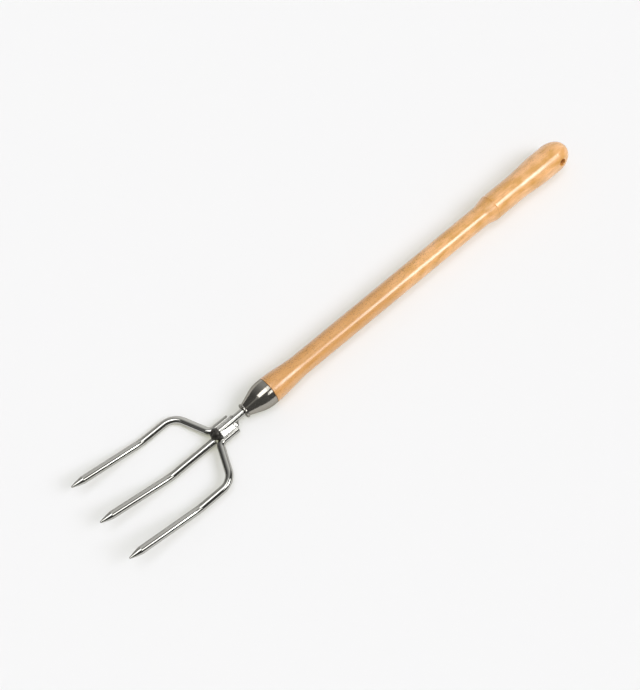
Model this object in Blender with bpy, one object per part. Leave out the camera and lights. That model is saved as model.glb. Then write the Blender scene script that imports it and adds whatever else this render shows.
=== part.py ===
"""Perennial fork: three round steel tines on a long turned wooden handle, lying at rest on a table.

The tool is drawn in its own frame and then laid down. In the tool's frame x runs along the
handle's axis, from the ferrule's rim at 0 to the knob, with the tines at minus x. z points to the
side that the tines bend to, and y runs across. Lengths are in metres.
"""
import bmesh
import bpy
from math import acos, asin, atan2, cos, hypot, pi, radians, sin, sqrt, tan
from mathutils import Matrix, Vector

# Clearance between touching pieces
GAP = 0.0003

# Rod that the head is made of
ROD_RADIUS = 0.0045

# Handle: a turned hardwood bar
HANDLE_LENGTH = 0.479
RIM_RADIUS = 0.01625
WAIST_RADIUS = 0.0127
SHAFT_END_RADIUS = 0.0131
GRIP_RADIUS = 0.0162
KNOB_RADIUS = 0.0187
FLARE_LENGTH = 0.048
STEP_LENGTH = 0.018
GRIP_LENGTH = 0.041
SWELL_LENGTH = 0.047
KNOB_BELT_LENGTH = 0.018
DOME_LENGTH = 0.025
HANG_HOLE_RADIUS = 0.004
HANG_HOLE_SETBACK = 0.0223
HANG_HOLE_LIFT = radians(21)

# Joint of handle and head
SPIGOT_LENGTH = 0.014
TANG_DEPTH = 0.095
ADHESIVE_WALL = 0.0008
ADHESIVE_LENGTH = 0.080

# Ferrule: a bell turned from stainless steel
FERRULE_LENGTH = 0.034
FERRULE_LAND = 0.006
FERRULE_SHOULDER_RADIUS = 0.030
FERRULE_NOSE_RADIUS = 0.0076
FERRULE_WALL = 0.0020

# Collar on the shank
COLLAR_RADIUS = 0.0088
COLLAR_THICKNESS = 0.0027
COLLAR_ROUNDING = 0.0009

# Head, as distances forward of the ferrule's rim
SHANK_REACH = 0.0768
LAP_START = 0.053
CROTCH_REACH = 0.0782
ARM_ANGLE = radians(66.5)
CROTCH_BEND_RADIUS = 0.009
SHOULDER_BEND_RADIUS = 0.020
LAP_SPACING = 0.0164
LAP_DROP = 0.0069
TINE_SPREAD = 0.1026
BEND_REACH = 0.1420
TINE_LENGTH = 0.0885
TINE_RISE = radians(14.7)
TINE_BEND_RADIUS = 0.040
CENTRE_TINE_START = 0.0834
CENTRE_TINE_DROP = 0.0081
CENTRE_TINE_SWAY = 0.0020

# Ground point on each tine
POINT_LENGTH = 0.0140
POINT_TIP_RADIUS = 0.0009

# Weld beads
LAP_WELD_START = 0.0445
LAP_WELD_LENGTH = 0.0250
LAP_WELD_BITE = 0.0021
LAP_WELD_END_SHARE = 0.06
CROTCH_WELD_REACH = 0.0779
CROTCH_WELD_HALF_LENGTH = 0.0080
CROTCH_WELD_HALF_WIDTH = 0.0070
CROTCH_WELD_HALF_HEIGHT = 0.0062
CROTCH_WELD_DEPTH = 0.0032
CROTCH_WELD_SLOPE = radians(33)

# Fineness of the facets
HANDLE_FACETS = 40
RING_FACETS = 32
ROD_FACETS = 16
BEAD_SECTORS = 24
BEAD_RINGS = 12
BEND_STEPS = 5
CURVE_STEPS = 8
CORNER_STEPS = 3
SHARP_ANGLE = radians(35)

# The lap: each side rod lies beside the shank and a little under it
LAP_HALF_SPACING = LAP_SPACING / 2
LAP_WELD_RADIUS = hypot(LAP_HALF_SPACING, LAP_DROP) / 2 - ROD_RADIUS + LAP_WELD_BITE

# Lengths that follow from the handle's stretches
SHAFT_END = HANDLE_LENGTH - DOME_LENGTH - KNOB_BELT_LENGTH - SWELL_LENGTH - GRIP_LENGTH - STEP_LENGTH
HANG_HOLE_X = HANDLE_LENGTH - HANG_HOLE_SETBACK
KNOB_BELT_START = HANDLE_LENGTH - DOME_LENGTH - KNOB_BELT_LENGTH

# How the tool lies: on its rim, its knob and the underside of one outer tine's bend
LIE_PITCH = asin((KNOB_RADIUS - RIM_RADIUS) / KNOB_BELT_START)
TOUCH_REACH = BEND_REACH - TINE_BEND_RADIUS * tan(TINE_RISE / 2)
TOUCH_DEPTH = RIM_RADIUS - TOUCH_REACH * tan(LIE_PITCH) - ROD_RADIUS
TINE_OFFSET = TINE_SPREAD / 2
LIE_ROLL = asin(TOUCH_DEPTH / hypot(TINE_OFFSET, LAP_DROP)) - atan2(LAP_DROP, TINE_OFFSET)


def clear_scene():
    """Remove every object, so that the model stands alone."""
    for thing in list(bpy.data.objects):
        bpy.data.objects.remove(thing, do_unlink=True)


def make_material(name, colour, metallic, roughness):
    """A plain Principled material of one colour."""
    material = bpy.data.materials.new(name)
    material.use_nodes = True
    shader = material.node_tree.nodes["Principled BSDF"]
    shader.inputs["Base Color"].default_value = (*colour, 1.0)
    shader.inputs["Metallic"].default_value = metallic
    shader.inputs["Roughness"].default_value = roughness
    material.diffuse_color = (*colour, 1.0)
    return material


def add_object(name, bm, material):
    """Close a bmesh into a named, smooth-shaded object."""
    bmesh.ops.recalc_face_normals(bm, faces=bm.faces)
    mesh = bpy.data.meshes.new(name)
    bm.to_mesh(mesh)
    bm.free()
    thing = bpy.data.objects.new(name, mesh)
    bpy.context.scene.collection.objects.link(thing)
    if material:
        mesh.materials.append(material)
    mesh.shade_smooth()
    mesh.set_sharp_from_angle(angle=SHARP_ANGLE)
    return thing


def eased(start, end, share):
    """A value between two, leaving and arriving level."""
    return start + (end - start) * (1 - cos(pi * share)) / 2


def ease_curve(x_start, r_start, x_end, r_end):
    """Outline points of an S-shaped change of radius, without its first point."""
    shares = [step / CURVE_STEPS for step in range(1, CURVE_STEPS + 1)]
    return [(x_start + (x_end - x_start) * share, eased(r_start, r_end, share)) for share in shares]


def turned(name, outline, facets, material):
    """A solid of revolution about x, from (x, radius) points that form a closed outline."""
    bm = bmesh.new()
    rings = []
    angles = [2 * pi * (step + 0.5) / facets - pi / 2 + LIE_ROLL for step in range(facets)]
    for x, radius in outline:
        if radius == 0:
            rings.append([bm.verts.new((x, 0, 0))] * facets)
        else:
            rings.append([bm.verts.new((x, radius * cos(a), radius * sin(a))) for a in angles])
    closed = outline[0][1] > 0
    pairs = list(zip(rings, rings[1:] + rings[:1])) if closed else list(zip(rings, rings[1:]))
    for ring, following in pairs:
        for i in range(facets):
            j = (i + 1) % facets
            corners = list(dict.fromkeys((ring[i], ring[j], following[j], following[i])))
            bm.faces.new(corners)
    return add_object(name, bm, material)


def rounded_path(corners):
    """Points along straight runs whose corners, given as (point, bend radius), are arcs."""
    path = [corners[0][0]]
    for (before, _), (corner, radius), (after, _) in zip(corners, corners[1:], corners[2:]):
        incoming = (corner - before).normalized()
        outgoing = (after - corner).normalized()
        turn = incoming.angle(outgoing)
        start = corner - incoming * radius * tan(turn / 2)
        inward = (outgoing - incoming * incoming.dot(outgoing)).normalized()
        for step in range(BEND_STEPS + 1):
            angle = turn * step / BEND_STEPS
            path.append(start + incoming * radius * sin(angle) + inward * radius * (1 - cos(angle)))
    path.append(corners[-1][0])
    return path


def swept(name, path, radii, material=None):
    """A round bar through the path's points, with a flat cap on each end."""
    bm = bmesh.new()
    direction = (path[1] - path[0]).normalized()
    side = direction.cross(Vector((0, 1, 0))).normalized()
    rings = []
    for i, (point, radius) in enumerate(zip(path, radii)):
        tangent = (path[min(i + 1, len(path) - 1)] - path[max(i - 1, 0)]).normalized()
        side.rotate(direction.rotation_difference(tangent))
        direction = tangent
        other = tangent.cross(side)
        angles = [2 * pi * (step + 0.5) / ROD_FACETS for step in range(ROD_FACETS)]
        rings.append([bm.verts.new(point + radius * (cos(a) * side + sin(a) * other)) for a in angles])
    for ring, following in zip(rings, rings[1:]):
        for i in range(ROD_FACETS):
            j = (i + 1) % ROD_FACETS
            bm.faces.new((ring[i], ring[j], following[j], following[i]))
    bm.faces.new(rings[0])
    bm.faces.new(rings[-1])
    return add_object(name, bm, material)


def pointed(path):
    """The path and its radii, with a ground cone at the far end."""
    heading = (path[-1] - path[-2]).normalized()
    shoulder = path[-1] - heading * POINT_LENGTH
    points = path[:-1] + [shoulder, path[-1]]
    radii = [ROD_RADIUS] * (len(points) - 1) + [POINT_TIP_RADIUS]
    return points, radii


def make_cutter(thing):
    """Hide an object that only shapes others."""
    thing.hide_render = True
    thing.display_type = "WIRE"
    return thing


def cut(thing, cutters):
    """Take each cutter away from an object."""
    for cutter in cutters:
        modifier = thing.modifiers.new("cut_" + cutter.name, "BOOLEAN")
        modifier.operation = "DIFFERENCE"
        modifier.solver = "EXACT"
        modifier.object = cutter


def handle_outline():
    """The handle from the bottom of its bore, along the bore, over the outside, to the knob's tip."""
    bore = ROD_RADIUS + 2 * GAP + ADHESIVE_WALL
    spigot = ferrule_socket_radius() - GAP
    step_end = SHAFT_END + STEP_LENGTH
    grip_end = step_end + GRIP_LENGTH
    dome_start = HANDLE_LENGTH - DOME_LENGTH
    outline = [(TANG_DEPTH + GAP, 0), (TANG_DEPTH + GAP, bore), (-SPIGOT_LENGTH, bore)]
    outline += [(-SPIGOT_LENGTH, spigot), (0, spigot), (0, RIM_RADIUS)]
    outline += ease_curve(0, RIM_RADIUS, FLARE_LENGTH, WAIST_RADIUS)
    outline += [(SHAFT_END, SHAFT_END_RADIUS)]
    outline += ease_curve(SHAFT_END, SHAFT_END_RADIUS, step_end, GRIP_RADIUS)
    outline += [(grip_end, GRIP_RADIUS)]
    outline += ease_curve(grip_end, GRIP_RADIUS, KNOB_BELT_START, KNOB_RADIUS)
    outline += [(dome_start, KNOB_RADIUS)]
    quarter = [pi / 2 * step / CURVE_STEPS for step in range(1, CURVE_STEPS)]
    outline += [(dome_start + DOME_LENGTH * sin(a), KNOB_RADIUS * cos(a)) for a in quarter]
    outline += [(HANDLE_LENGTH, 0)]
    return outline


def ferrule_profile():
    """The outside of the bell: a short land, a round shoulder and a cone to the nose."""
    centre_x = -FERRULE_LAND
    centre_r = RIM_RADIUS - FERRULE_SHOULDER_RADIUS
    run = FERRULE_LENGTH - FERRULE_LAND
    rise = FERRULE_NOSE_RADIUS - centre_r
    sweep = pi / 2 - atan2(rise, run) - acos(FERRULE_SHOULDER_RADIUS / hypot(run, rise))
    profile = [(-GAP, RIM_RADIUS)]
    for step in range(CURVE_STEPS + 1):
        angle = sweep * step / CURVE_STEPS
        x = centre_x - FERRULE_SHOULDER_RADIUS * sin(angle)
        profile.append((x, centre_r + FERRULE_SHOULDER_RADIUS * cos(angle)))
    profile.append((-FERRULE_LENGTH, FERRULE_NOSE_RADIUS))
    return profile


def ferrule_socket_radius():
    """Radius of the socket that the handle's spigot enters, which leaves the wall at its floor."""
    floor = -(SPIGOT_LENGTH + GAP)
    profile = ferrule_profile()
    outside = FERRULE_NOSE_RADIUS
    for (x, radius), (next_x, next_radius) in zip(profile, profile[1:]):
        if next_x <= floor <= x:
            outside = radius + (next_radius - radius) * (x - floor) / (x - next_x)
    return outside - FERRULE_WALL


def ferrule_outline():
    """The bell from its rim over the outside, and back through the shank's hole and the socket."""
    shank_hole = ROD_RADIUS + GAP
    floor = -(SPIGOT_LENGTH + GAP)
    outline = ferrule_profile()
    outline += [(-FERRULE_LENGTH, shank_hole), (floor, shank_hole)]
    outline += [(floor, ferrule_socket_radius()), (-GAP, ferrule_socket_radius())]
    return outline


def collar_outline():
    """A washer with rounded outer corners."""
    front = -FERRULE_LENGTH - GAP - COLLAR_THICKNESS
    back = -FERRULE_LENGTH - GAP
    inner = ROD_RADIUS + GAP
    flat = COLLAR_RADIUS - COLLAR_ROUNDING
    quarter = [pi / 2 * step / CORNER_STEPS for step in range(CORNER_STEPS + 1)]
    corner = [(COLLAR_ROUNDING * (1 - sin(a)), flat + COLLAR_ROUNDING * cos(a)) for a in quarter]
    outline = [(back, inner)]
    outline += [(back - inset, radius) for inset, radius in corner[::-1]]
    outline += [(front + inset, radius) for inset, radius in corner]
    outline += [(front, inner)]
    return outline


def side_rod_path(side):
    """One outer tine, from its lap beside the shank to its tip; side is 1 or -1 along y."""
    lap_y = side * LAP_HALF_SPACING
    tine_y = side * TINE_OFFSET
    arm_run = (TINE_OFFSET - LAP_HALF_SPACING) / tan(ARM_ANGLE)
    tip_x = BEND_REACH + TINE_LENGTH * cos(TINE_RISE)
    tip_z = TINE_LENGTH * sin(TINE_RISE) - LAP_DROP
    corners = [
        (Vector((-LAP_START, lap_y, -LAP_DROP)), 0),
        (Vector((-CROTCH_REACH, lap_y, -LAP_DROP)), CROTCH_BEND_RADIUS),
        (Vector((-CROTCH_REACH - arm_run, tine_y, -LAP_DROP)), SHOULDER_BEND_RADIUS),
        (Vector((-BEND_REACH, tine_y, -LAP_DROP)), TINE_BEND_RADIUS),
        (Vector((-tip_x, tine_y, tip_z)), 0),
    ]
    return rounded_path(corners)


def centre_tine_path():
    """The centre tine, which starts in the crotch and lies a little lower than the outer two."""
    tip_x = BEND_REACH + TINE_LENGTH * cos(TINE_RISE)
    tip_z = TINE_LENGTH * sin(TINE_RISE) - CENTRE_TINE_DROP
    corners = [
        (Vector((-CENTRE_TINE_START, -CENTRE_TINE_SWAY, -CENTRE_TINE_DROP)), 0),
        (Vector((-BEND_REACH, -CENTRE_TINE_SWAY, -CENTRE_TINE_DROP)), TINE_BEND_RADIUS),
        (Vector((-tip_x, 0, tip_z)), 0),
    ]
    return rounded_path(corners)


def make_rods(steel):
    """The shank with its tang, and the three tines."""
    shank_ends = [Vector((TANG_DEPTH, 0, 0)), Vector((-SHANK_REACH, 0, 0))]
    shank = swept("shank", shank_ends, [ROD_RADIUS] * 2, steel)
    centre = swept("centre_tine", *pointed(centre_tine_path()), steel)
    right = swept("right_tine", *pointed(side_rod_path(1)), steel)
    left = swept("left_tine", *pointed(side_rod_path(-1)), steel)
    return [shank, centre, right, left]


def make_rod_cutters():
    """The same rods, thicker by the clearance, to shape the weld beads that lie against them."""
    fat = ROD_RADIUS + GAP
    paths = {
        "shank": [Vector((-SHANK_REACH, 0, 0)), Vector((TANG_DEPTH, 0, 0))],
        "centre_tine": centre_tine_path(),
        "right_tine": side_rod_path(1),
        "left_tine": side_rod_path(-1),
    }
    for path in paths.values():
        path[0] = path[0] - (path[1] - path[0]).normalized() * GAP
    return {
        name: make_cutter(swept(name + "_clearance", path, [fat] * len(path)))
        for name, path in paths.items()
    }


def lap_weld(name, side, cutters, material):
    """A bead that fills the gap between the shank and one side rod, thin at both ends."""
    middle = Vector((0, side * LAP_HALF_SPACING, -LAP_DROP)) / 2
    steps = 2 * CURVE_STEPS
    path = []
    radii = []
    for step in range(steps + 1):
        share = step / steps
        swell = sqrt(sin(pi * (LAP_WELD_END_SHARE + (1 - 2 * LAP_WELD_END_SHARE) * share)))
        path.append(middle + Vector((-LAP_WELD_START - LAP_WELD_LENGTH * share, 0, 0)))
        radii.append(LAP_WELD_RADIUS * swell)
    bead = swept(name, path, radii, material)
    cut(bead, [cutters["shank"], cutters["left_tine" if side < 0 else "right_tine"]])
    return bead


def crotch_weld(cutters, material):
    """The bead that joins the shank's end, the two arms and the centre tine's root."""
    bm = bmesh.new()
    bmesh.ops.create_uvsphere(bm, u_segments=BEAD_SECTORS, v_segments=BEAD_RINGS, radius=1.0)
    size = Matrix.Diagonal((CROTCH_WELD_HALF_LENGTH, CROTCH_WELD_HALF_WIDTH, CROTCH_WELD_HALF_HEIGHT, 1))
    slope = Matrix.Rotation(-CROTCH_WELD_SLOPE, 4, "Y")
    place = Matrix.Translation((-CROTCH_WELD_REACH, -CENTRE_TINE_SWAY / 2, -CROTCH_WELD_DEPTH))
    bm.transform(place @ slope @ size)
    bead = add_object("crotch_weld", bm, material)
    cut(bead, cutters.values())
    return bead


def make_adhesive(material):
    """The sleeve of set resin that holds the tang in the handle's bore."""
    inner = ROD_RADIUS + GAP
    outer = inner + ADHESIVE_WALL
    start = TANG_DEPTH - ADHESIVE_LENGTH
    outline = [(start, inner), (start, outer), (TANG_DEPTH, outer), (TANG_DEPTH, inner)]
    return turned("tang_adhesive", outline, RING_FACETS, material)


def make_handle(material):
    """The turned handle with its bore and its hang hole."""
    handle = turned("handle", handle_outline(), HANDLE_FACETS, material)
    across = Vector((0, cos(HANG_HOLE_LIFT), -sin(HANG_HOLE_LIFT)))
    centre = Vector((HANG_HOLE_X, 0, 0))
    ends = [centre - across * 2 * KNOB_RADIUS, centre + across * 2 * KNOB_RADIUS]
    drill = make_cutter(swept_across("hang_hole_drill", ends))
    cut(handle, [drill])
    return handle, drill


def swept_across(name, ends):
    """A straight round bar that runs across the tool."""
    bm = bmesh.new()
    bmesh.ops.create_cone(
        bm,
        cap_ends=True,
        segments=ROD_FACETS,
        radius1=HANG_HOLE_RADIUS,
        radius2=HANG_HOLE_RADIUS,
        depth=(ends[1] - ends[0]).length,
    )
    heading = (ends[1] - ends[0]).normalized()
    turn = Vector((0, 0, 1)).rotation_difference(heading).to_matrix().to_4x4()
    bm.transform(Matrix.Translation((ends[0] + ends[1]) / 2) @ turn)
    return add_object(name, bm, None)


def lay_down(pieces, helpers):
    """Roll and tip the tool onto the table, with its box's bottom centre at the origin."""
    root = bpy.data.objects.new("tool_frame", None)
    bpy.context.scene.collection.objects.link(root)
    for thing in pieces + helpers:
        thing.parent = root
    root.matrix_world = Matrix.Rotation(-LIE_PITCH, 4, "Y") @ Matrix.Rotation(-LIE_ROLL, 4, "X")
    bpy.context.view_layer.update()
    corners = [thing.matrix_world @ vertex.co for thing in pieces for vertex in thing.data.vertices]
    low = [min(corner[axis] for corner in corners) for axis in range(3)]
    high = [max(corner[axis] for corner in corners) for axis in range(3)]
    shift = Vector((-(low[0] + high[0]) / 2, -(low[1] + high[1]) / 2, -low[2]))
    root.matrix_world = Matrix.Translation(shift) @ root.matrix_world
    bpy.context.view_layer.update()


def main():
    clear_scene()
    wood = make_material("varnished_beech", (0.72, 0.42, 0.17), 0.0, 0.3)
    bell = make_material("polished_ferrule", (0.42, 0.41, 0.39), 1.0, 0.12)
    ring = make_material("polished_collar", (0.50, 0.49, 0.47), 1.0, 0.15)
    rods = make_material("polished_rod", (0.60, 0.60, 0.59), 1.0, 0.12)
    bead = make_material("weld_steel", (0.45, 0.44, 0.42), 1.0, 0.25)
    resin = make_material("set_resin", (0.55, 0.42, 0.20), 0.0, 0.4)
    handle, drill = make_handle(wood)
    ferrule = turned("ferrule", ferrule_outline(), HANDLE_FACETS, bell)
    collar = turned("stop_collar", collar_outline(), RING_FACETS, ring)
    adhesive = make_adhesive(resin)
    bars = make_rods(rods)
    cutters = make_rod_cutters()
    beads = [
        lap_weld("right_lap_weld", 1, cutters, bead),
        lap_weld("left_lap_weld", -1, cutters, bead),
        crotch_weld(cutters, bead),
    ]
    pieces = [handle, ferrule, collar, adhesive] + bars + beads
    lay_down(pieces, [drill] + list(cutters.values()))


main()
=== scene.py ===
"""Looks of the perennial fork: turned, bent, welded and ground pieces in place of the CAD ones.

The tool is drawn in its own frame and then laid down as the CAD part lies. In the tool's frame x
runs along the handle's axis, from the ferrule's rim at 0 to the knob, with the tines at minus x.
z points to the side that the tines bend to, and y runs across. Lengths are in metres.
"""
import bmesh
import bpy
from math import acos, asin, atan2, cos, hypot, pi, radians, sin, sqrt, tan
from mathutils import Matrix, Vector, noise


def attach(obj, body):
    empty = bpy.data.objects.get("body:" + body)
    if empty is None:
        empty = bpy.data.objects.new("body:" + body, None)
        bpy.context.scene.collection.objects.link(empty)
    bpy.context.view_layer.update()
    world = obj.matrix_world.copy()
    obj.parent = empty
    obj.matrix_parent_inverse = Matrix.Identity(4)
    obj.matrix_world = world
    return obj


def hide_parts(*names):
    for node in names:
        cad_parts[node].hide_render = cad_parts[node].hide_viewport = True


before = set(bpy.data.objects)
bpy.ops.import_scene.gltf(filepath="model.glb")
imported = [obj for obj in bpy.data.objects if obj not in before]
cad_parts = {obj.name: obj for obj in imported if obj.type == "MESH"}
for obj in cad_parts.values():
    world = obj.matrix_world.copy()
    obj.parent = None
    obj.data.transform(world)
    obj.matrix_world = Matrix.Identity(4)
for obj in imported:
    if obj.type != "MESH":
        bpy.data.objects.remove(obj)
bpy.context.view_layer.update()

# Clearance between neighbouring pieces
GAP = 0.0003

# Rod that the head is made of, a hair under the CAD's radius so that finer facets stay in its box
ROD_RADIUS = 0.00445

# Handle: a turned hardwood bar
HANDLE_LENGTH = 0.479
RIM_RADIUS = 0.01623
WAIST_RADIUS = 0.0127
SHAFT_END_RADIUS = 0.0131
GRIP_RADIUS = 0.0162
KNOB_RADIUS = 0.01864
FLARE_LENGTH = 0.048
STEP_LENGTH = 0.018
GRIP_LENGTH = 0.041
CREASE_DEPTH = 0.0006
CREASE_HALF_WIDTH = 0.0008
STEP_START_SHARE = 0.4
SWELL_LENGTH = 0.047
KNOB_BELT_LENGTH = 0.018
DOME_LENGTH = 0.025
HANG_HOLE_RADIUS = 0.004
HANG_HOLE_SETBACK = 0.0223
HANG_HOLE_LIFT = radians(21)
HANG_HOLE_LIP_RADIUS = 0.0020
HANG_HOLE_LIP_SWEEP = radians(70)
DRILL_OVERRUN = KNOB_RADIUS / 2
RIM_EASING = 0.0003

# Joint of handle and head
SPIGOT_LENGTH = 0.014
TANG_DEPTH = 0.095
ADHESIVE_WALL = 0.0008

# Ferrule: a bell turned from stainless steel
FERRULE_LENGTH = 0.034
FERRULE_LAND = 0.0045
FERRULE_SHOULDER_RADIUS = 0.042
FERRULE_NOSE_RADIUS = 0.0076
FERRULE_WALL = 0.0020

# Collar on the shank
COLLAR_RADIUS = 0.0088
COLLAR_THICKNESS = 0.0027
COLLAR_ROUNDING = 0.0009

# Head, as distances forward of the ferrule's rim
SHANK_REACH = 0.0768
LAP_START = 0.053
CROTCH_REACH = 0.0782
ARM_ANGLE = radians(66.5)
CROTCH_BEND_RADIUS = 0.009
SHOULDER_BEND_RADIUS = 0.020
LAP_SPACING = 0.0164
LAP_DROP = 0.0069
TINE_SPREAD = 0.1026
BEND_REACH = 0.1420
TINE_LENGTH = 0.0885
TINE_RISE = radians(14.7)
TINE_BEND_RADIUS = 0.040
CENTRE_TINE_ROOT = 0.0805
CENTRE_TINE_DROP = 0.0081
CENTRE_TINE_SWAY = 0.0020
SAWN_EDGE = 0.0004

# Ground point on each tine
POINT_LENGTH = 0.0140
POINT_TIP_RADIUS = 0.0012
POINT_CROWN = 0.0002
POINT_SHOULDER_EDGE = 0.0002

# Lap welds, ground to a face. Each face is given from the shank to the side rod, as the distance
# across and the height from the shank's axis
RIGHT_WEB_FACE = ((0.0012, 0.0041), (0.0018, 0.0043), (0.0056, 0.0019), (0.0070, -0.0024))
LEFT_WEB_FACE = ((0.0026, 0.0036), (0.0031, 0.0037), (0.0089, 0.0001), (0.0100, -0.0030))
LEFT_WEB_FALL = radians(5)
WEB_REAR_AT_SHANK = 0.0455
WEB_REAR_AT_ROD = 0.0522
WEB_FRONT = 0.0745
WEB_DEPTH = 0.0028
WEB_FADE = 0.12
WEB_END_HEIGHT = 0.4
WEB_UNDERSIDE_INSET = 0.25
WEB_RIPPLE = 0.00004
WEB_RIPPLE_SIZE = 0.0018

# Crotch weld, left as it was laid
CROTCH_WELD_REACH = 0.0754
CROTCH_WELD_HALF_LENGTH = 0.0067
CROTCH_WELD_HALF_WIDTH = 0.0070
CROTCH_WELD_HALF_HEIGHT = 0.0064
CROTCH_WELD_DEPTH = 0.0012
CROTCH_WELD_SLOPE = radians(33)
CROTCH_WELD_SIDE = 0.0003
CROTCH_WELD_LUMP = 0.0009
CROTCH_WELD_LUMP_SIZE = 0.0028
# Each finer layer of lumps is half as high and half as wide as the one before
LUMP_FALL = 1.0
LUMP_FINER = 2.0
LUMP_LAYERS = 3

# Fineness of the facets
HANDLE_FACETS = 128
RING_FACETS = 96
ROD_FACETS = 48
BEND_STEPS = 16
CURVE_STEPS = 24
DOME_STEPS = 48
CORNER_STEPS = 4
TIP_STEPS = 6
WEB_STATIONS = 64
WEB_TOP_STEPS = 20
WELD_SUBDIVISIONS = 5
HOLE_RING_SPACING = 0.001
HOLE_RING_REACH = 0.008
SHARP_ANGLE = radians(38)

# Lengths that follow from the ones above
LAP_HALF_SPACING = LAP_SPACING / 2
SHAFT_END = HANDLE_LENGTH - DOME_LENGTH - KNOB_BELT_LENGTH - SWELL_LENGTH - GRIP_LENGTH - STEP_LENGTH
HANG_HOLE_X = HANDLE_LENGTH - HANG_HOLE_SETBACK
KNOB_BELT_START = HANDLE_LENGTH - DOME_LENGTH - KNOB_BELT_LENGTH

# How the tool lies: on its rim, its knob and the underside of one outer tine's bend
LIE_PITCH = asin((KNOB_RADIUS - RIM_RADIUS) / KNOB_BELT_START)
TOUCH_REACH = BEND_REACH - TINE_BEND_RADIUS * tan(TINE_RISE / 2)
TOUCH_DEPTH = RIM_RADIUS - TOUCH_REACH * tan(LIE_PITCH) - ROD_RADIUS
TINE_OFFSET = TINE_SPREAD / 2
LIE_ROLL = asin(TOUCH_DEPTH / hypot(TINE_OFFSET, LAP_DROP)) - atan2(LAP_DROP, TINE_OFFSET)

# Patterns of the wood, as marks to a metre along the tool, across it and up. The colour drifts over
# about 22 mm by 9 mm, and the grain lines are about 1 mm apart. The rays of beech are flecks about
# 0.3 mm wide, which are drawn two or three times as wide to show
BEECH_DRIFT = (45, 110, 110)
BEECH_GRAIN = (45, 900, 900)
BEECH_FLECKS = (550, 1000, 1000)

# Where along the handle the front part's deeper colour fades out and its flecks thin out, and
# where across the handle the flecks come to crowd
DEEPER_UNTIL = 0.16
DEEPER_GONE = 0.24
FLECKS_FULL_UNTIL = 0.24
FLECKS_THIN_FROM = 0.34
FLECKS_CROWD_FROM = -0.004
FLECKS_CROWDED = 0.008

# Patterns of the steel, in the same way. Buffing and grinding marks are some hundredths of a
# millimetre wide and are drawn about 0.7 mm wide to show. Pits are about 0.8 mm wide, and heat
# scale comes in patches of about 1 mm
BUFFING_MARKS = (1500, 500, 500)
GRINDING_MARKS = (1400, 250, 250)
WELD_PITS = (750, 600, 600)
HEAT_SCALE = (900, 900, 900)

# The least and the most of its usual roughness that a buffed surface has in places
SMOOTHEST = 0.7
ROUGHEST = 1.4

# Where along the tool the pits of the lap welds begin, and where they are thick
PITS_FROM = -0.058
PITS_THICK = -0.048

# Camera, where the photograph was taken from
CAMERA_PLACE = (-0.3532, -0.3381, 1.0440)
CAMERA_YAW = radians(41.897)
CAMERA_ELEVATION = radians(65.965)
CAMERA_LENS_MM = 52.17

# Studio: the floor, the light of the white dome and the pale wall beyond the floor's edge
FLOOR_HALF_WIDTH = 6.0
FLOOR_GLOW = 0.264
DOME_STRENGTH = 0.45
HORIZON_BRIGHTNESS = 0.94

# Broad lights that the floor and the wood show: direction to the light, spread and strength
SUNS = {
    "key_sun": ((0.40, -0.55, 0.73), radians(32), 1.82),
    "overhead_sun": ((-0.04, 0.02, 1.00), radians(32), 0.90),
}

# Softboxes that only the gloss of the pieces shows: least and greatest corner, and brightness
BOX_HEIGHT = 1.8
SOFTBOXES = {
    "overhead_box": ((-0.88, -0.42), (0.23, 0.50), 2.5),
    "small_box": ((0.10, -1.75), (0.19, -1.02), 3.0),
    "key_box_near": ((0.26, -1.75), (0.82, -0.86), 2.7),
    "key_box_far": ((0.82, -1.85), (1.38, -0.80), 7.4),
    "key_box_end": ((1.38, -1.85), (1.66, -0.80), 5.5),
}
# Watts that give a softbox of one square metre a brightness of 1
WATTS_PER_BRIGHTNESS = 4.0

# The rest of the room as gloss shows it: a dark one with soft-edged panels. Each panel has its
# centre, its half size and the softness of its edges, in degrees from straight up, and its brightness
DARK_ROOM = 0.08
PANELS = {
    "side_board": ((150, 75), (134, 74), (50, 9), 0.99),
    "corner_board": ((21.6, 39), (5, 5), (6, 6), 1.2),
    "ceiling_glow": ((-32, -2), (22, 6), (12, 6), 0.35),
}

# Sockets of the Mix node, which mixes plain values or colours
FACTOR = 0
FIRST_VALUE = 2
SECOND_VALUE = 3
FIRST_COLOUR = 6
SECOND_COLOUR = 7
MIXED_COLOUR = 2


def linear(hex_colour):
    """An sRGB hex colour as linear red, green, blue and alpha."""
    channels = [int(hex_colour[i:i + 2], 16) / 255 for i in (1, 3, 5)]
    curved = [c / 12.92 if c <= 0.04045 else ((c + 0.055) / 1.055) ** 2.4 for c in channels]
    return (*curved, 1.0)


def add(tree, kind, inputs=None, **settings):
    """Add a node to a tree, with its settings, and fill or link its inputs."""
    made = tree.nodes.new(kind)
    for setting, value in settings.items():
        setattr(made, setting, value)
    for socket, value in (inputs or {}).items():
        if isinstance(value, bpy.types.NodeSocket):
            tree.links.new(value, made.inputs[socket])
        else:
            made.inputs[socket].default_value = value
    return made


def start_material(name):
    """A new node material, with its tree and its shader."""
    material = bpy.data.materials.new(name)
    material.use_nodes = True
    return material, material.node_tree, material.node_tree.nodes["Principled BSDF"]


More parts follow.
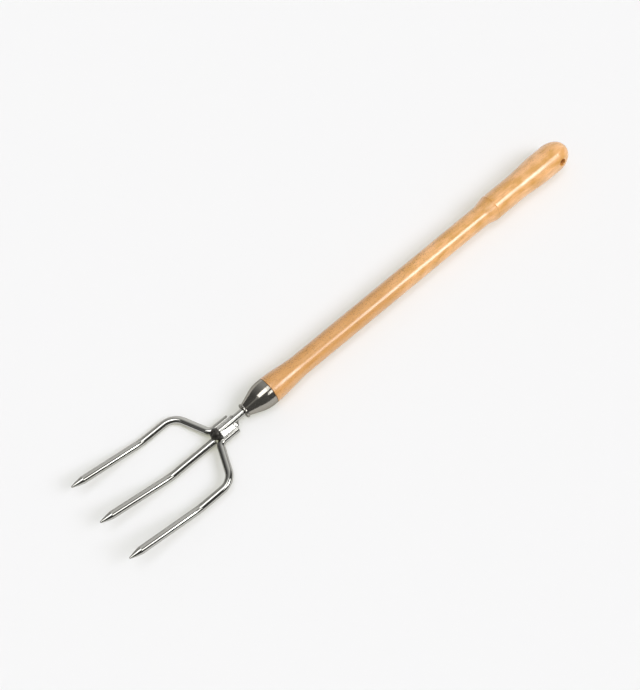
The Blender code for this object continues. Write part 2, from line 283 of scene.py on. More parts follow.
def varnished_beech():
    """Beech, turned and sanded, under clear gloss varnish.

    The eye gets a warm tan that drifts between gold and peach and is darker in the handle's front
    part, short brown flecks that crowd on one face of the front part, and a soft-edged white
    streak from the varnish."""
    material, tree, shader = start_material("varnished_beech")
    place = add(tree, "ShaderNodeAttribute", attribute_name="place").outputs["Vector"]
    drift_place = add(tree, "ShaderNodeMapping", {"Vector": place, "Scale": BEECH_DRIFT})
    drift = add(tree, "ShaderNodeTexNoise", {"Vector": drift_place.outputs[0], "Scale": 1.0, "Detail": 3.0})
    peach = add(tree, "ShaderNodeMapRange", {"Value": drift.outputs[0], "From Min": 0.38, "From Max": 0.64})
    tone = add(tree, "ShaderNodeMix", {
        FACTOR: peach.outputs[0],
        FIRST_COLOUR: linear("#D39947"), SECOND_COLOUR: linear("#EFB577"),
    }, data_type="RGBA")
    axes = add(tree, "ShaderNodeSeparateXYZ", {"Vector": place})
    front = add(tree, "ShaderNodeMapRange", {
        "Value": axes.outputs["X"], "From Min": DEEPER_GONE, "From Max": DEEPER_UNTIL, "To Max": 0.75,
    }, interpolation_type="SMOOTHSTEP")
    deeper = add(tree, "ShaderNodeMix", {
        FACTOR: front.outputs[0],
        FIRST_COLOUR: tone.outputs[MIXED_COLOUR], SECOND_COLOUR: linear("#C88F48"),
    }, data_type="RGBA")
    grain_place = add(tree, "ShaderNodeMapping", {"Vector": place, "Scale": BEECH_GRAIN})
    grain = add(tree, "ShaderNodeTexNoise", {"Vector": grain_place.outputs[0], "Scale": 1.0, "Detail": 2.0})
    streak = add(tree, "ShaderNodeMapRange", {
        "Value": grain.outputs[0], "From Min": 0.50, "From Max": 0.75, "To Max": 0.40,
    })
    grained = add(tree, "ShaderNodeMix", {
        FACTOR: streak.outputs[0],
        FIRST_COLOUR: deeper.outputs[MIXED_COLOUR], SECOND_COLOUR: linear("#C08445"),
    }, data_type="RGBA")
    fleck_place = add(tree, "ShaderNodeMapping", {"Vector": place, "Scale": BEECH_FLECKS})
    fleck = add(tree, "ShaderNodeTexNoise", {"Vector": fleck_place.outputs[0], "Scale": 1.0, "Detail": 1.0})
    dark = add(tree, "ShaderNodeMapRange", {"Value": fleck.outputs[0], "From Min": 0.56, "From Max": 0.70})
    face = add(tree, "ShaderNodeMapRange", {
        "Value": axes.outputs["Y"], "From Min": FLECKS_CROWD_FROM, "From Max": FLECKS_CROWDED,
        "To Min": 0.35, "To Max": 0.90,
    })
    sparse = add(tree, "ShaderNodeMapRange", {
        "Value": axes.outputs["X"], "From Min": FLECKS_FULL_UNTIL, "From Max": FLECKS_THIN_FROM,
        "To Min": 1.0, "To Max": 0.45,
    })
    crowding = add(tree, "ShaderNodeMath", {0: face.outputs[0], 1: sparse.outputs[0]}, operation="MULTIPLY")
    shown = add(tree, "ShaderNodeMath", {0: dark.outputs[0], 1: crowding.outputs[0]}, operation="MULTIPLY")
    flecked = add(tree, "ShaderNodeMix", {
        FACTOR: shown.outputs[0],
        FIRST_COLOUR: grained.outputs[MIXED_COLOUR], SECOND_COLOUR: linear("#75491F"),
    }, data_type="RGBA")
    tree.links.new(flecked.outputs[MIXED_COLOUR], shader.inputs["Base Color"])
    shader.inputs["Roughness"].default_value = 0.55
    shader.inputs["Coat Weight"].default_value = 1.0
    shader.inputs["Coat Roughness"].default_value = 0.22
    shader.inputs["Coat IOR"].default_value = 1.7
    return material


def polished_stainless(name, colour, rim_colour, roughness, haze):
    """Stainless steel, ground and buffed to a mirror.

    The eye gets soft-edged bands of the white softboxes and the dark room, with faint scratches
    around the piece that spread the band edges a little. The rim colour tints what shows at a
    grazing angle. Haze is the share of light that the finest scratches scatter, which greys the
    dark bands."""
    material, tree, shader = start_material(name)
    place = add(tree, "ShaderNodeAttribute", attribute_name="place").outputs["Vector"]
    shader.inputs["Metallic"].default_value = 1.0 - haze
    shader.inputs["Base Color"].default_value = linear(colour)
    shader.inputs["Specular Tint"].default_value = linear(rim_colour)
    marks_place = add(tree, "ShaderNodeMapping", {"Vector": place, "Scale": BUFFING_MARKS})
    marks = add(tree, "ShaderNodeTexNoise", {"Vector": marks_place.outputs[0], "Scale": 1.0, "Detail": 2.0})
    gloss = add(tree, "ShaderNodeMapRange", {
        "Value": marks.outputs[0], "From Min": 0.3, "From Max": 0.7,
        "To Min": roughness * SMOOTHEST, "To Max": roughness * ROUGHEST,
    })
    tree.links.new(gloss.outputs[0], shader.inputs["Roughness"])
    return material


def ground_weld():
    """Steel weld metal, ground to a face with a flap disc and buffed.

    The eye gets a bright satin face with faint crosswise marks, and dark pits near the rear end."""
    material, tree, shader = start_material("ground_weld")
    place = add(tree, "ShaderNodeAttribute", attribute_name="place").outputs["Vector"]
    shader.inputs["Metallic"].default_value = 1.0
    lines_place = add(tree, "ShaderNodeMapping", {"Vector": place, "Scale": GRINDING_MARKS})
    lines = add(tree, "ShaderNodeTexNoise", {"Vector": lines_place.outputs[0], "Scale": 1.0, "Detail": 2.0})
    gloss = add(tree, "ShaderNodeMapRange", {"Value": lines.outputs[0], "To Min": 0.20, "To Max": 0.36})
    pits_place = add(tree, "ShaderNodeMapping", {"Vector": place, "Scale": WELD_PITS})
    pits = add(tree, "ShaderNodeTexNoise", {"Vector": pits_place.outputs[0], "Scale": 1.0, "Detail": 2.0})
    axes = add(tree, "ShaderNodeSeparateXYZ", {"Vector": place})
    rear = add(tree, "ShaderNodeMapRange", {
        "Value": axes.outputs["X"], "From Min": PITS_FROM, "From Max": PITS_THICK,
        "To Min": -0.06, "To Max": 0.16,
    })
    spread = add(tree, "ShaderNodeMath", {0: pits.outputs[0], 1: rear.outputs[0]}, operation="ADD")
    pitted = add(tree, "ShaderNodeMapRange", {
        "Value": spread.outputs[0], "From Min": 0.56, "From Max": 0.64,
    })
    shade = add(tree, "ShaderNodeMix", {
        FACTOR: pitted.outputs[0],
        FIRST_COLOUR: linear("#C9C8C2"), SECOND_COLOUR: linear("#45433F"),
    }, data_type="RGBA")
    bump = add(tree, "ShaderNodeBump", {"Strength": 0.2, "Distance": 0.0001, "Height": lines.outputs[0]})
    tree.links.new(shade.outputs[MIXED_COLOUR], shader.inputs["Base Color"])
    tree.links.new(gloss.outputs[0], shader.inputs["Roughness"])
    tree.links.new(bump.outputs[0], shader.inputs["Normal"])
    return material


def heat_scaled_weld_painted_dark():
    """Steel weld metal left as it was laid, dark with heat scale and with a painted dark reflection.

    The eye gets a nearly black, uneven lump with dull glints. Part of its near-black colour is a painted
    reflection of the dark room that the bead's slopes face."""
    material, tree, shader = start_material("heat_scaled_weld_painted_dark")
    place = add(tree, "ShaderNodeAttribute", attribute_name="place").outputs["Vector"]
    shader.inputs["Metallic"].default_value = 1.0
    scale_place = add(tree, "ShaderNodeMapping", {"Vector": place, "Scale": HEAT_SCALE})
    scale = add(tree, "ShaderNodeTexNoise", {"Vector": scale_place.outputs[0], "Scale": 1.0, "Detail": 4.0})
    # Near-black base colours: partly the weld's heat scale, partly a painted reflection of the dark room
    shade = add(tree, "ShaderNodeMix", {
        FACTOR: scale.outputs[0],
        FIRST_COLOUR: linear("#242220"), SECOND_COLOUR: linear("#74716C"),
    }, data_type="RGBA")
    bump = add(tree, "ShaderNodeBump", {"Strength": 0.6, "Distance": 0.0002, "Height": scale.outputs[0]})
    tree.links.new(shade.outputs[MIXED_COLOUR], shader.inputs["Base Color"])
    tree.links.new(bump.outputs[0], shader.inputs["Normal"])
    shader.inputs["Roughness"].default_value = 0.38
    return material


def set_epoxy():
    """Epoxy resin, poured and set.

    The eye would get a cloudy amber with a dull gloss; it is hidden in the handle."""
    material, tree, shader = start_material("set_epoxy")
    cloud = add(tree, "ShaderNodeTexNoise", {"Scale": 200.0, "Detail": 2.0})
    shade = add(tree, "ShaderNodeMix", {
        FACTOR: cloud.outputs[0],
        FIRST_COLOUR: linear("#A8854C"), SECOND_COLOUR: linear("#C9A86C"),
    }, data_type="RGBA")
    tree.links.new(shade.outputs[MIXED_COLOUR], shader.inputs["Base Color"])
    shader.inputs["Roughness"].default_value = 0.4
    return material


def add_piece(name, bm, material):
    """Make an object of a finished bmesh, with its faces turned outward and one material."""
    bmesh.ops.recalc_face_normals(bm, faces=bm.faces)
    mesh = bpy.data.meshes.new(name)
    bm.to_mesh(mesh)
    bm.free()
    piece = bpy.data.objects.new(name, mesh)
    bpy.context.scene.collection.objects.link(piece)
    mesh.materials.append(material)
    return piece


def lay(piece, node):
    """Keep each point's place on the tool for the patterns, lay the piece down, hang it on the tool's body
    and hide the CAD node that it stands for.
    """
    mesh = piece.data
    place = mesh.attributes.new("place", "FLOAT_VECTOR", "POINT")
    for vertex in mesh.vertices:
        place.data[vertex.index].vector = vertex.co
    mesh.transform(LAID)
    mesh.shade_smooth()
    mesh.set_sharp_from_angle(angle=SHARP_ANGLE)
    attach(piece, "root")
    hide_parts(node)


def eased(start, end, share):
    """A value between two, leaving and arriving level."""
    return start + (end - start) * (1 - cos(pi * share)) / 2


def ease_curve(x_start, r_start, x_end, r_end):
    """Outline points of an S-shaped change of radius, without its first point."""
    shares = [step / CURVE_STEPS for step in range(1, CURVE_STEPS + 1)]
    return [(x_start + (x_end - x_start) * share, eased(r_start, r_end, share)) for share in shares]


def skin(bm, rings):
    """Faces from each ring of points to the next."""
    for ring, following in zip(rings, rings[1:]):
        for i in range(len(ring)):
            j = (i + 1) % len(ring)
            corners = dict.fromkeys((ring[i], ring[j], following[j], following[i]))
            bm.faces.new(list(corners))


def skin_bar(bm, rings):
    """Faces along a row of rings and over its two ends."""
    skin(bm, rings)
    bm.faces.new(rings[0])
    bm.faces.new(rings[-1])


def turned(name, outline, facets, material):
    """A solid of revolution about x, from (x, radius) points. The outline starts and ends on the
    axis, or else it closes on itself."""
    bm = bmesh.new()
    rings = []
    # Each ring is turned so that a facet, not a corner, faces the table
    angles = [2 * pi * (step + 0.5) / facets - pi / 2 + LIE_ROLL for step in range(facets)]
    for x, radius in outline:
        if radius == 0:
            rings.append([bm.verts.new((x, 0, 0))] * facets)
        else:
            rings.append([bm.verts.new((x, radius * cos(a), radius * sin(a))) for a in angles])
    closed = outline[0][1] > 0
    skin(bm, rings + rings[:1] if closed else rings)
    return add_piece(name, bm, material)


def rounded_path(corners):
    """Points along straight runs whose corners, given as (point, bend radius), are arcs."""
    path = [corners[0][0]]
    for (before, _), (corner, radius), (after, _) in zip(corners, corners[1:], corners[2:]):
        incoming = (corner - before).normalized()
        outgoing = (after - corner).normalized()
        turn = incoming.angle(outgoing)
        start = corner - incoming * radius * tan(turn / 2)
        inward = (outgoing - incoming * incoming.dot(outgoing)).normalized()
        for step in range(BEND_STEPS + 1):
            angle = turn * step / BEND_STEPS
            path.append(start + incoming * radius * sin(angle) + inward * radius * (1 - cos(angle)))
    path.append(corners[-1][0])
    return path


def swept(name, stations, material):
    """A round bar through (point, radius) stations, closed at both ends."""
    bm = bmesh.new()
    points = [point for point, _ in stations]
    direction = (points[1] - points[0]).normalized()
    side = direction.cross(Vector((0, 1, 0))).normalized()
    rings = []
    angles = [2 * pi * (step + 0.5) / ROD_FACETS for step in range(ROD_FACETS)]
    for i, (point, radius) in enumerate(stations):
        tangent = (points[min(i + 1, len(points) - 1)] - points[max(i - 1, 0)]).normalized()
        side.rotate(direction.rotation_difference(tangent))
        direction = tangent
        other = tangent.cross(side)
        rings.append([bm.verts.new(point + radius * (cos(a) * side + sin(a) * other)) for a in angles])
    skin_bar(bm, rings)
    return add_piece(name, bm, material)


def sawn_end(path):
    """Stations at a rod's first end, with the sawn edge taken off."""
    heading = (path[1] - path[0]).normalized()
    return [(path[0], ROD_RADIUS - SAWN_EDGE), (path[0] + heading * SAWN_EDGE, ROD_RADIUS)]


def pointed(path):
    """Stations of a tine: the rod, the ground cone with its slight crown, and the blunt round tip."""
    heading = (path[-1] - path[-2]).normalized()
    tip = path[-1]
    stations = sawn_end(path) + [(point, ROD_RADIUS) for point in path[1:-1]]
    stations.append((tip - heading * (POINT_LENGTH + POINT_SHOULDER_EDGE), ROD_RADIUS))
    for step in range(CURVE_STEPS + 1):
        share = step / CURVE_STEPS
        setback = POINT_LENGTH + (POINT_TIP_RADIUS - POINT_LENGTH) * share
        cone = ROD_RADIUS + (POINT_TIP_RADIUS - ROD_RADIUS) * share
        stations.append((tip - heading * setback, cone + POINT_CROWN * sin(pi * share)))
    for step in range(1, TIP_STEPS):
        angle = pi / 2 * step / TIP_STEPS
        setback = POINT_TIP_RADIUS * (1 - sin(angle))
        stations.append((tip - heading * setback, POINT_TIP_RADIUS * cos(angle)))
    return stations


def handle_outline():
    """The handle from the bottom of its bore, along the bore, over the outside, to the knob's tip."""
    bore = ROD_RADIUS + 2 * GAP + ADHESIVE_WALL
    spigot = ferrule_socket_radius() - GAP
    step_end = SHAFT_END + STEP_LENGTH
    grip_end = step_end + GRIP_LENGTH
    dome_start = HANDLE_LENGTH - DOME_LENGTH
    outline = [(TANG_DEPTH + GAP, 0), (TANG_DEPTH + GAP, bore), (-SPIGOT_LENGTH, bore)]
    outline += [(-SPIGOT_LENGTH, spigot), (0, spigot), (0, RIM_RADIUS - RIM_EASING)]
    outline += [(RIM_EASING, RIM_RADIUS)]
    outline += ease_curve(RIM_EASING, RIM_RADIUS, FLARE_LENGTH, WAIST_RADIUS)
    outline += [(SHAFT_END, SHAFT_END_RADIUS)]
    for step in range(1, CURVE_STEPS + 1):
        share = step / CURVE_STEPS
        bend = min(share, STEP_START_SHARE)
        rise = (bend ** 2 / (2 * STEP_START_SHARE) + share - bend) / (1 - STEP_START_SHARE / 2)
        x = SHAFT_END + (STEP_LENGTH - CREASE_HALF_WIDTH) * share
        outline.append((x, SHAFT_END_RADIUS + (GRIP_RADIUS - SHAFT_END_RADIUS) * rise))
    outline += [(step_end, GRIP_RADIUS - CREASE_DEPTH), (step_end + CREASE_HALF_WIDTH, GRIP_RADIUS)]
    outline += [(step_end + 2 * CREASE_HALF_WIDTH, GRIP_RADIUS), (grip_end, GRIP_RADIUS)]
    outline += ease_curve(grip_end, GRIP_RADIUS, KNOB_BELT_START, KNOB_RADIUS)
    hole_start = HANG_HOLE_X - HOLE_RING_REACH
    ring_count = int((dome_start - hole_start) / HOLE_RING_SPACING)
    outline += [(hole_start + HOLE_RING_SPACING * i, KNOB_RADIUS) for i in range(ring_count)]
    outline += [(dome_start, KNOB_RADIUS)]
    quarter = [pi / 2 * step / DOME_STEPS for step in range(1, DOME_STEPS)]
    outline += [(dome_start + DOME_LENGTH * sin(a), KNOB_RADIUS * cos(a)) for a in quarter]
    outline += [(HANDLE_LENGTH, 0)]
    return outline


def ferrule_profile():
    """The outside of the bell: a short land, a round shoulder and a cone to the nose."""
    centre_x = -FERRULE_LAND
    centre_r = RIM_RADIUS - FERRULE_SHOULDER_RADIUS
    run = FERRULE_LENGTH - FERRULE_LAND
    rise = FERRULE_NOSE_RADIUS - centre_r
    sweep = pi / 2 - atan2(rise, run) - acos(FERRULE_SHOULDER_RADIUS / hypot(run, rise))
    profile = [(-GAP, RIM_RADIUS - RIM_EASING), (-GAP - RIM_EASING, RIM_RADIUS)]
    for step in range(CURVE_STEPS + 1):
        angle = sweep * step / CURVE_STEPS
        x = centre_x - FERRULE_SHOULDER_RADIUS * sin(angle)
        profile.append((x, centre_r + FERRULE_SHOULDER_RADIUS * cos(angle)))
    profile.append((-FERRULE_LENGTH, FERRULE_NOSE_RADIUS))
    return profile


def ferrule_socket_radius():
    """Radius of the socket that the handle's spigot enters, which leaves the wall at its floor."""
    floor = -(SPIGOT_LENGTH + GAP)
    profile = ferrule_profile()
    outside = FERRULE_NOSE_RADIUS
    for (x, radius), (next_x, next_radius) in zip(profile, profile[1:]):
        if next_x <= floor <= x:
            outside = radius + (next_radius - radius) * (x - floor) / (x - next_x)
    return outside - FERRULE_WALL


def ferrule_outline():
    """The bell from its rim over the outside, and back through the shank's hole and the socket."""
    shank_hole = ROD_RADIUS + GAP
    floor = -(SPIGOT_LENGTH + GAP)
    outline = ferrule_profile()
    outline += [(-FERRULE_LENGTH, shank_hole), (floor, shank_hole)]
    outline += [(floor, ferrule_socket_radius()), (-GAP, ferrule_socket_radius())]
    return outline


def collar_outline():
    """A washer with rounded outer corners."""
    front = -FERRULE_LENGTH - GAP - COLLAR_THICKNESS
    back = -FERRULE_LENGTH - GAP
    inner = ROD_RADIUS + GAP
    flat = COLLAR_RADIUS - COLLAR_ROUNDING
    quarter = [pi / 2 * step / CORNER_STEPS for step in range(CORNER_STEPS + 1)]
    corner = [(COLLAR_ROUNDING * (1 - sin(a)), flat + COLLAR_ROUNDING * cos(a)) for a in quarter]
    outline = [(back, inner)]
    outline += [(back - inset, radius) for inset, radius in corner[::-1]]
    outline += [(front + inset, radius) for inset, radius in corner]
    outline += [(front, inner)]
    return outline


def side_rod_path(side):
    """One outer tine, from its lap beside the shank to its tip; side is 1 or -1 along y."""
    lap_y = side * LAP_HALF_SPACING
    tine_y = side * TINE_OFFSET
    arm_run = (TINE_OFFSET - LAP_HALF_SPACING) / tan(ARM_ANGLE)
    tip_x = BEND_REACH + TINE_LENGTH * cos(TINE_RISE)
    tip_z = TINE_LENGTH * sin(TINE_RISE) - LAP_DROP
    corners = [
        (Vector((-LAP_START, lap_y, -LAP_DROP)), 0),
        (Vector((-CROTCH_REACH, lap_y, -LAP_DROP)), CROTCH_BEND_RADIUS),
        (Vector((-CROTCH_REACH - arm_run, tine_y, -LAP_DROP)), SHOULDER_BEND_RADIUS),
        (Vector((-BEND_REACH, tine_y, -LAP_DROP)), TINE_BEND_RADIUS),
        (Vector((-tip_x, tine_y, tip_z)), 0),
    ]
    return rounded_path(corners)


def centre_tine_path():
    """The centre tine, which starts in the crotch and lies a little lower than the outer two."""
    tip_x = BEND_REACH + TINE_LENGTH * cos(TINE_RISE)
    tip_z = TINE_LENGTH * sin(TINE_RISE) - CENTRE_TINE_DROP
    corners = [
        (Vector((-CENTRE_TINE_ROOT, -CENTRE_TINE_SWAY, -CENTRE_TINE_DROP)), 0),
        (Vector((-BEND_REACH, -CENTRE_TINE_SWAY, -CENTRE_TINE_DROP)), TINE_BEND_RADIUS),
        (Vector((-tip_x, 0, tip_z)), 0),
    ]
    return rounded_path(corners)


def point_on(face, share):
    """The point at a share of the length of a bent line."""
    runs = [(Vector(start), Vector(end)) for start, end in zip(face, face[1:])]
    reach = share * sum((end - start).length for start, end in runs)
    for start, end in runs:
        length = (end - start).length
        if reach <= length:
            return start.lerp(end, reach / length)
        reach -= length
    return runs[-1][1]


def web_x(share, along):
    """How far forward a point of a lap weld lies. The rear end is oblique and the front end square."""
    rear = WEB_REAR_AT_SHANK + (WEB_REAR_AT_ROD - WEB_REAR_AT_SHANK) * share
    return rear + (WEB_FRONT - rear) * along


def lap_web(name, side, face, fall, material):
    """A weld that fills the groove between the shank and one side rod, ground to a face.

    Each section crosses the face from the shank to the rod and comes back underneath. The face may
    fall toward the rear end."""
    bm = bmesh.new()
    rod = Vector((LAP_HALF_SPACING, -LAP_DROP))
    under = Vector((-LAP_DROP, -LAP_HALF_SPACING)).normalized() * WEB_DEPTH
    shares = [step / WEB_TOP_STEPS for step in range(WEB_TOP_STEPS + 1)]
    rings = []
    for station in range(WEB_STATIONS + 1):
        along = station / WEB_STATIONS
        fade = min(1.0, along / WEB_FADE, (1 - along) / WEB_FADE)
        height = WEB_END_HEIGHT + (1 - WEB_END_HEIGHT) * sqrt(sin(pi / 2 * fade))
        section = []
        for share in shares:
            x = web_x(share, along)
            lowered = point_on(face, share) - Vector((0, (WEB_FRONT - x) * tan(fall)))
            section.append((x, (rod * share).lerp(lowered, height)))
        for share in shares[::-1]:
            inset = WEB_UNDERSIDE_INSET + (1 - 2 * WEB_UNDERSIDE_INSET) * share
            section.append((web_x(inset, along), rod * inset + under * height))
        ring = []
        for x, (across, up) in section:
            point = Vector((-x, side * across, up))
            point.z += noise.noise(point / WEB_RIPPLE_SIZE) * WEB_RIPPLE
            ring.append(bm.verts.new(point))
        rings.append(ring)
    skin_bar(bm, rings)
    return add_piece(name, bm, material)


def crotch_weld(material):
    """The lumpy bead that joins the shank's end, the two arms and the centre tine's root."""
    bm = bmesh.new()
    bmesh.ops.create_icosphere(bm, subdivisions=WELD_SUBDIVISIONS, radius=1.0)
    size = Matrix.Diagonal((CROTCH_WELD_HALF_LENGTH, CROTCH_WELD_HALF_WIDTH, CROTCH_WELD_HALF_HEIGHT, 1))
    slope = Matrix.Rotation(-CROTCH_WELD_SLOPE, 4, "Y")
    centre = Vector((-CROTCH_WELD_REACH, CROTCH_WELD_SIDE, -CROTCH_WELD_DEPTH))
    bm.transform(Matrix.Translation(centre) @ slope @ size)
    for vertex in bm.verts:
        outward = (vertex.co - centre).normalized()
        lump = noise.fractal(vertex.co / CROTCH_WELD_LUMP_SIZE, LUMP_FALL, LUMP_FINER, LUMP_LAYERS)
        vertex.co += outward * lump * CROTCH_WELD_LUMP
    return add_piece("crotch_weld_bead", bm, material)


def hang_hole_drill(material):
    """The drill that bores the hang hole, widened where it leaves the knob to round the lips."""
    heading = Vector((0, cos(HANG_HOLE_LIFT), -sin(HANG_HOLE_LIFT)))
    centre = Vector((HANG_HOLE_X, 0, 0))
    lip_start = KNOB_RADIUS - HANG_HOLE_LIP_RADIUS
    half = [(0.0, HANG_HOLE_RADIUS), (lip_start, HANG_HOLE_RADIUS)]
    for step in range(1, CORNER_STEPS + 1):
        angle = HANG_HOLE_LIP_SWEEP * step / CORNER_STEPS
        reach = lip_start + HANG_HOLE_LIP_RADIUS * sin(angle)
        half.append((reach, HANG_HOLE_RADIUS + HANG_HOLE_LIP_RADIUS * (1 - cos(angle))))
    half.append((KNOB_RADIUS + DRILL_OVERRUN, half[-1][1] + DRILL_OVERRUN))
    profile = [(-reach, radius) for reach, radius in half[::-1]] + half[1:]
    bm = bmesh.new()
    side = Vector((1, 0, 0))
    other = heading.cross(side)
    rings = []
    angles = [2 * pi * step / ROD_FACETS for step in range(ROD_FACETS)]
    for reach, radius in profile:
        middle = centre + heading * reach
        rings.append([bm.verts.new(middle + radius * (cos(a) * side + sin(a) * other)) for a in angles])
    skin_bar(bm, rings)
    return add_piece("hang_hole_drill", bm, material)


def drill_hang_hole(handle):
    """Bore the hole through the knob and keep the result as the handle's mesh."""
    drill = hang_hole_drill(handle.data.materials[0])
    modifier = handle.modifiers.new("hang_hole", "BOOLEAN")
    modifier.operation = "DIFFERENCE"
    modifier.solver = "EXACT"
    modifier.object = drill
    bored = handle.evaluated_get(bpy.context.evaluated_depsgraph_get())
    mesh = bpy.data.meshes.new_from_object(bored)
    handle.modifiers.clear()
    handle.data = mesh
    bpy.data.objects.remove(drill, do_unlink=True)


def tool_placement():
    """How the tool lies, with its place taken from the CAD handle's knob."""
    turn = Matrix.Rotation(-LIE_PITCH, 4, "Y") @ Matrix.Rotation(-LIE_ROLL, 4, "X")
    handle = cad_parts["handle"]
    knob_tip = max((handle.matrix_world @ vertex.co for vertex in handle.data.vertices), key=lambda p: p.x)
    return Matrix.Translation(knob_tip - turn @ Vector((HANDLE_LENGTH, 0, 0))) @ turn


def make_pieces():
    """Every visible piece of the tool, in the place of its CAD node."""
    beech = varnished_beech()
    bell = polished_stainless("buffed_stainless_ferrule", "#A5A198", "#B8B6B0", roughness=0.13, haze=0.05)
    ring = polished_stainless("buffed_stainless_collar", "#AFACA5", "#9C9A94", roughness=0.12, haze=0.05)
    rods = polished_stainless("buffed_stainless_rod", "#BFBEB8", "#BFBEB8", roughness=0.06, haze=0.0)
    ground = ground_weld()
    scaled_and_painted_dark = heat_scaled_weld_painted_dark()
    handle = turned("turned_handle", handle_outline(), HANDLE_FACETS, beech)
    drill_hang_hole(handle)
    lay(handle, "handle")
    lay(turned("bell_ferrule", ferrule_outline(), HANDLE_FACETS, bell), "ferrule")
    lay(turned("collar_ring", collar_outline(), RING_FACETS, ring), "stop_collar")
    front = Vector((-SHANK_REACH, 0, 0))
    back = Vector((TANG_DEPTH, 0, 0))
    shank_stations = sawn_end([front, back]) + [(back, ROD_RADIUS)]
    lay(swept("shank_rod", shank_stations, rods), "shank")
    lay(swept("centre_rod", pointed(centre_tine_path()), rods), "centre_tine")
    lay(swept("right_rod", pointed(side_rod_path(1)), rods), "right_tine")
    lay(swept("left_rod", pointed(side_rod_path(-1)), rods), "left_tine")
    right_web = lap_web("right_lap_web", 1, RIGHT_WEB_FACE, 0, ground)
    left_web = lap_web("left_lap_web", -1, LEFT_WEB_FACE, LEFT_WEB_FALL, ground)
    lay(right_web, "right_lap_weld")
    lay(left_web, "left_lap_weld")
    lay(crotch_weld(scaled_and_painted_dark), "crotch_weld")
    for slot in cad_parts["tang_adhesive"].material_slots:
        slot.material = set_epoxy()


def white_acrylic():
    """Matt white acrylic, lit from below. The eye gets an even pale floor with faint soft shadows."""
    material, _, shader = start_material("white_acrylic")
    shader.inputs["Base Color"].default_value = linear("#C9C9D5")
    shader.inputs["Emission Color"].default_value = linear("#FFFED2")
    shader.inputs["Emission Strength"].default_value = FLOOR_GLOW
    shader.inputs["Roughness"].default_value = 0.9
    shader.inputs["Specular IOR Level"].default_value = 0.0
    return material


def make_floor():
    """The pale floor that the tool lies on."""
    bm = bmesh.new()
    corners = [(-1, -1), (1, -1), (1, 1), (-1, 1)]
    bm.faces.new([bm.verts.new((x * FLOOR_HALF_WIDTH, y * FLOOR_HALF_WIDTH, 0)) for x, y in corners])
    floor = add_piece("floor", bm, white_acrylic())


def add_light(name, kind, place):
    """A light in the scene, at a place given as a matrix."""
    light = bpy.data.lights.new(name, kind)
    holder = bpy.data.objects.new(name, light)
    bpy.context.scene.collection.objects.link(holder)
    holder.matrix_world = place
    return light, holder


def make_lights():
    """Broad suns for the floor and the wood, and the softboxes as gloss shows them."""
    for name, (heading, spread, strength) in SUNS.items():
        turn = Vector(heading).to_track_quat("Z", "Y").to_matrix().to_4x4()
        sun, holder = add_light(name, "SUN", turn)
        sun.energy = strength
        sun.angle = spread
        holder.visible_glossy = False
    for name, (low, high, brightness) in SOFTBOXES.items():
        centre = ((low[0] + high[0]) / 2, (low[1] + high[1]) / 2, BOX_HEIGHT)
        box, holder = add_light(name, "AREA", Matrix.Translation(centre))
        box.shape = "RECTANGLE"
        box.size = high[0] - low[0]
        box.size_y = high[1] - low[1]
        box.energy = WATTS_PER_BRIGHTNESS * box.size * box.size_y * brightness
        holder.visible_diffuse = False


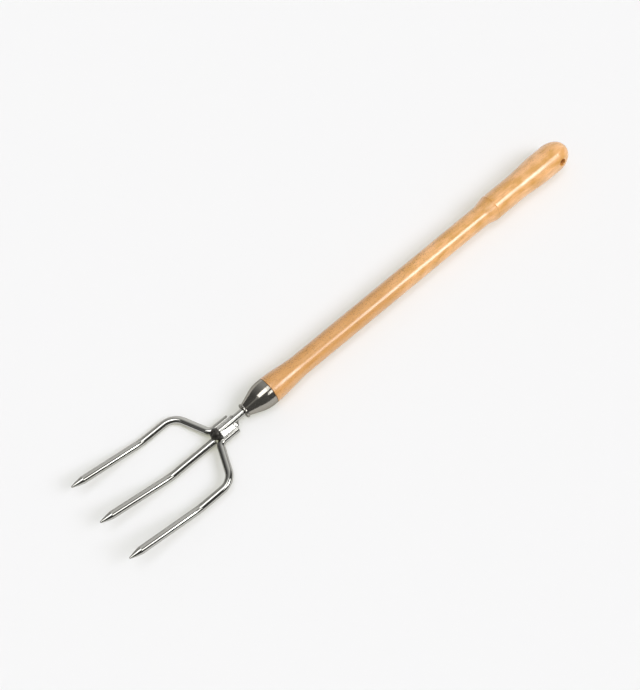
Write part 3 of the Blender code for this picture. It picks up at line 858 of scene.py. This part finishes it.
def make_studio():
    """An even white dome for the floor and the wood. Gloss shows panels in a dark room, and beyond
    the floor's edge there is a plain wall as pale as the floor."""
    world = bpy.data.worlds.new("white_studio")
    bpy.context.scene.world = world
    world.use_nodes = True
    tree = world.node_tree
    tree.nodes.clear()
    direction = add(tree, "ShaderNodeTexCoord")
    axes = add(tree, "ShaderNodeSeparateXYZ", {"Vector": direction.outputs["Generated"]})
    tilt = add(tree, "ShaderNodeMath", {0: axes.outputs["Z"]}, operation="ARCCOSINE")
    tilt_degrees = add(tree, "ShaderNodeMath", {0: tilt.outputs[0]}, operation="DEGREES")
    level_part = add(tree, "ShaderNodeCombineXYZ", {"X": axes.outputs["X"], "Y": axes.outputs["Y"]})
    heading = add(tree, "ShaderNodeVectorMath", {0: level_part.outputs[0]}, operation="NORMALIZE")
    chart = add(tree, "ShaderNodeVectorMath", {
        0: heading.outputs[0], "Scale": tilt_degrees.outputs[0],
    }, operation="SCALE")
    brightness = DARK_ROOM
    for centre, half, softness, panel_brightness in PANELS.values():
        local = add(tree, "ShaderNodeMapping", {
            "Vector": chart.outputs[0], "Location": (*centre, 0),
        }, vector_type="TEXTURE")
        sides = add(tree, "ShaderNodeSeparateXYZ", {"Vector": local.outputs[0]})
        inside = 1.0
        for side, reach, soft in zip("XY", half, softness):
            distance = add(tree, "ShaderNodeMath", {0: sides.outputs[side]}, operation="ABSOLUTE")
            within = add(tree, "ShaderNodeMapRange", {
                "Value": distance.outputs[0], "From Min": reach + soft, "From Max": reach - soft,
            }, interpolation_type="SMOOTHSTEP")
            both = add(tree, "ShaderNodeMath", {0: within.outputs[0], 1: inside}, operation="MULTIPLY")
            inside = both.outputs[0]
        mixed = add(tree, "ShaderNodeMix", {
            FACTOR: inside, FIRST_VALUE: brightness, SECOND_VALUE: panel_brightness,
        })
        brightness = mixed.outputs[0]
    rays = add(tree, "ShaderNodeLightPath")
    lit = add(tree, "ShaderNodeMix", {
        FACTOR: rays.outputs["Is Glossy Ray"],
        FIRST_VALUE: DOME_STRENGTH, SECOND_VALUE: brightness,
    })
    seen = add(tree, "ShaderNodeMix", {
        FACTOR: rays.outputs["Is Camera Ray"],
        FIRST_VALUE: lit.outputs[0], SECOND_VALUE: HORIZON_BRIGHTNESS,
    })
    background = add(tree, "ShaderNodeBackground", {
        "Color": linear("#FFFFFF"), "Strength": seen.outputs[0],
    })
    add(tree, "ShaderNodeOutputWorld", {"Surface": background.outputs[0]})


def make_camera():
    """A level camera at the photograph's viewing angle."""
    data = bpy.data.cameras.new("photo_view")
    data.lens = CAMERA_LENS_MM
    camera = bpy.data.objects.new("photo_view", data)
    bpy.context.scene.collection.objects.link(camera)
    yaw = Matrix.Rotation(-CAMERA_YAW, 4, "Z")
    tilt = Matrix.Rotation(pi / 2 - CAMERA_ELEVATION, 4, "X")
    camera.matrix_world = Matrix.Translation(CAMERA_PLACE) @ yaw @ tilt
    bpy.context.scene.camera = camera


LAID = tool_placement()
make_pieces()
make_floor()
make_lights()
make_studio()
make_camera()
bpy.context.scene.view_settings.view_transform = "Standard"
